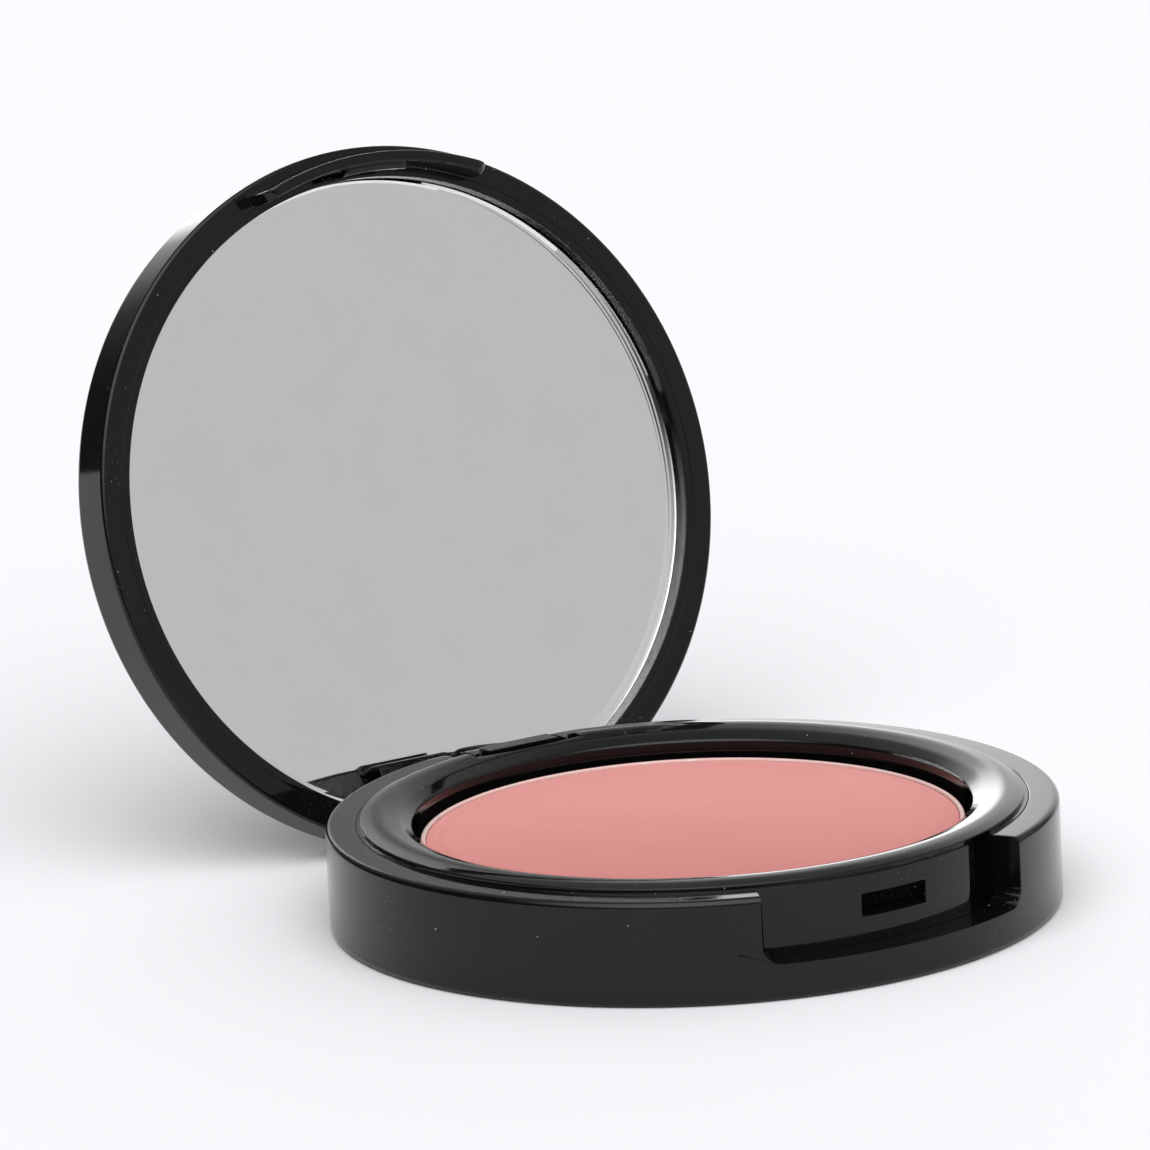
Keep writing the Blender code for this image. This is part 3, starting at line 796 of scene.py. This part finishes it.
def pan_metal():
    """Satin aluminium with fine turning lines and powder left on the rim."""
    n = Nodes("pan_metal")
    caught = n.remap(n.noise(700.0, 4.0, 0.7), 0.36, 0.54, 0.45, 1.0)
    worn = n.noise(1500.0, 2.0)
    bare = n.mix(worn, (0.74, 0.73, 0.72, 1.0), (0.88, 0.87, 0.86, 1.0))
    n.link(n.mix(caught, bare, (0.80, 0.52, 0.48, 1.0)), n.shader.inputs["Base Color"])
    n.link(n.remap(caught, 0.0, 1.0, 1.0, 0.0), n.shader.inputs["Metallic"])
    n.link(n.remap(caught, 0.0, 1.0, 0.35, 0.80), n.shader.inputs["Roughness"])
    rings = n.noise(2600.0, 2.0, 0.5, n.stretched((1.0, 1.0, 6.0)))
    n.bump(rings, 0.25, 0.00003)
    return n.mat


def mirror_glass():
    """Clear glass with a trace of smears."""
    n = Nodes("mirror_glass")
    n.shader.inputs["Base Color"].default_value = (0.985, 0.990, 0.988, 1.0)
    n.shader.inputs["Transmission Weight"].default_value = 1.0
    n.shader.inputs["IOR"].default_value = GLASS_IOR
    n.link(n.remap(n.noise(140.0, 5.0, 0.65), 0.50, 0.85, 0.0, 0.02), n.shader.inputs["Roughness"])
    return n.mat


def mirror_silver():
    """Silver layer with a few dust marks."""
    n = Nodes("mirror_silver")
    haze = n.remap(n.noise(140.0, 5.0, 0.65), 0.48, 0.80, 0.0, 1.0)
    marks = n.specks(900.0, 0.05, 0.035, 7.7)
    clear = n.mix(haze, (0.905, 0.905, 0.908, 1.0), (0.895, 0.893, 0.890, 1.0))
    dusty = n.mix(n.math("MULTIPLY", marks, 0.45), clear, (0.35, 0.34, 0.33, 1.0))
    n.link(dusty, n.shader.inputs["Base Color"])
    n.shader.inputs["Metallic"].default_value = 1.0
    n.link(n.remap(haze, 0.0, 1.0, 0.012, 0.045), n.shader.inputs["Roughness"])
    return n.mat


def pin_steel():
    """Drawn steel wire with fine lines along its length."""
    n = Nodes("pin_steel")
    lines = n.noise(4000.0, 3.0, 0.6, n.stretched((0.05, 1.0, 1.0)))
    n.link(n.mix(lines, (0.50, 0.49, 0.48, 1.0), (0.66, 0.65, 0.64, 1.0)), n.shader.inputs["Base Color"])
    n.shader.inputs["Metallic"].default_value = 1.0
    n.link(n.remap(lines, 0.3, 0.7, 0.20, 0.34), n.shader.inputs["Roughness"])
    n.bump(lines, 0.2, 0.00002)
    return n.mat


def sticky_film():
    """Pale adhesive film with a fibrous carrier."""
    n = Nodes("sticky_film")
    fibres = n.noise(1800.0, 5.0, 0.7)
    n.link(n.mix(fibres, (0.70, 0.69, 0.64, 1.0), (0.84, 0.83, 0.80, 1.0)), n.shader.inputs["Base Color"])
    n.link(n.remap(fibres, 0.3, 0.7, 0.45, 0.65), n.shader.inputs["Roughness"])
    n.bump(fibres, 0.3, 0.00003)
    return n.mat


def set_material(node, mat):
    """Give a carried-over CAD node its finish."""
    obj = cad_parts[node]
    if not obj.material_slots:
        obj.data.materials.append(mat)
    for slot in obj.material_slots:
        slot.material = mat


# ---------------------------------------------------------------- stage

def add_floor():
    """Plain pale floor."""
    bm = bmesh.new()
    bmesh.ops.create_grid(bm, x_segments=1, y_segments=1, size=PAPER_HALF)
    mesh = bpy.data.meshes.new("floor")
    bm.to_mesh(mesh)
    bm.free()
    floor = bpy.data.objects.new("floor", mesh)
    floor.location.z = -PAPER_DROP
    bpy.context.scene.collection.objects.link(floor)
    n = Nodes("floor_paper")
    n.shader.inputs["Base Color"].default_value = (0.87, 0.867, 0.895, 1.0)
    n.shader.inputs["Roughness"].default_value = 1.0
    n.shader.inputs["Specular IOR Level"].default_value = 0.0
    mesh.materials.append(n.mat)


def add_dome():
    """Studio light: soft boxes of different sizes around the compact, on a dim surround."""
    world = bpy.data.worlds.new("studio")
    bpy.context.scene.world = world
    world.use_nodes = True
    tree = world.node_tree
    back = tree.nodes["Background"]
    coord = tree.nodes.new("ShaderNodeTexCoord")
    total = None
    for azimuth, elevation, core, spread, level in SOFT_BOXES:
        flat = math.cos(math.radians(elevation))
        ahead = (
            math.sin(math.radians(azimuth)) * flat,
            math.cos(math.radians(azimuth)) * flat,
            math.sin(math.radians(elevation)),
        )
        lobe = tree.nodes.new("ShaderNodeVectorMath")
        lobe.operation = "DOT_PRODUCT"
        tree.links.new(coord.outputs["Generated"], lobe.inputs[0])
        lobe.inputs[1].default_value = ahead
        reach = tree.nodes.new("ShaderNodeMapRange")
        reach.interpolation_type = "SMOOTHSTEP"
        tree.links.new(lobe.outputs["Value"], reach.inputs["Value"])
        reach.inputs["From Min"].default_value = math.cos(math.radians(spread))
        reach.inputs["From Max"].default_value = math.cos(math.radians(core))
        reach.inputs["To Min"].default_value = 0.0
        reach.inputs["To Max"].default_value = level
        joined = tree.nodes.new("ShaderNodeMath")
        joined.operation = "ADD"
        tree.links.new(reach.outputs["Result"], joined.inputs[0])
        if total is None:
            joined.inputs[1].default_value = SURROUND
        else:
            tree.links.new(total, joined.inputs[1])
        total = joined.outputs[0]
    tree.links.new(total, back.inputs["Color"])
    back.inputs["Strength"].default_value = 1.0
    bpy.context.scene.view_settings.view_transform = "Standard"


def add_camera():
    """Long lens from the front left, a little above the rim."""
    azimuth = math.radians(VIEW_AZIMUTH)
    elevation = math.radians(VIEW_ELEVATION)
    roll = math.radians(VIEW_ROLL)
    level = math.cos(elevation)
    back = Vector((math.sin(azimuth) * level, -math.cos(azimuth) * level, math.sin(elevation)))
    place = Vector((0.0, 0.0, VIEW_CENTRE_HEIGHT)) + VIEW_DISTANCE * back
    right = Vector((0.0, 0.0, 1.0)).cross(back).normalized()
    up = back.cross(right)
    side = math.cos(roll) * right + math.sin(roll) * up
    rise = -math.sin(roll) * right + math.cos(roll) * up
    rows = Matrix((side, rise, back))
    aim = Vector((VIEW_RIGHT, -VIEW_BELOW, -VIEW_DISTANCE)).normalized()
    swing = Vector((0.0, 0.0, -1.0)).rotation_difference(aim).to_matrix()
    facing = (swing @ rows).transposed()
    data = bpy.data.cameras.new("camera")
    data.sensor_width = SENSOR
    data.lens = VIEW_LENS
    data.clip_start = 0.01
    data.clip_end = 50.0
    camera = bpy.data.objects.new("camera", data)
    camera.matrix_world = Matrix.Translation(place) @ facing.to_4x4()
    bpy.context.scene.collection.objects.link(camera)
    bpy.context.scene.camera = camera


# ---------------------------------------------------------------- the compact

add_camera()
add_dome()
add_floor()
base_shell(black_plastic("base_black", 0.085, 0.05, 1.3))
pan_frame(black_plastic("frame_black", 0.060, 0.06, 2.6))
pan(pan_metal())
powder_cake(pressed_powder())
lid_shell(black_plastic("lid_black", 0.060, 0.10, 4.2))
mirror_frame(black_plastic("ring_black", 0.060, 0.10, 5.5))
mirror(mirror_glass(), mirror_silver())
set_material("hinge_pin", pin_steel())
set_material("pan_adhesive", sticky_film())
set_material("mirror_adhesive", sticky_film())
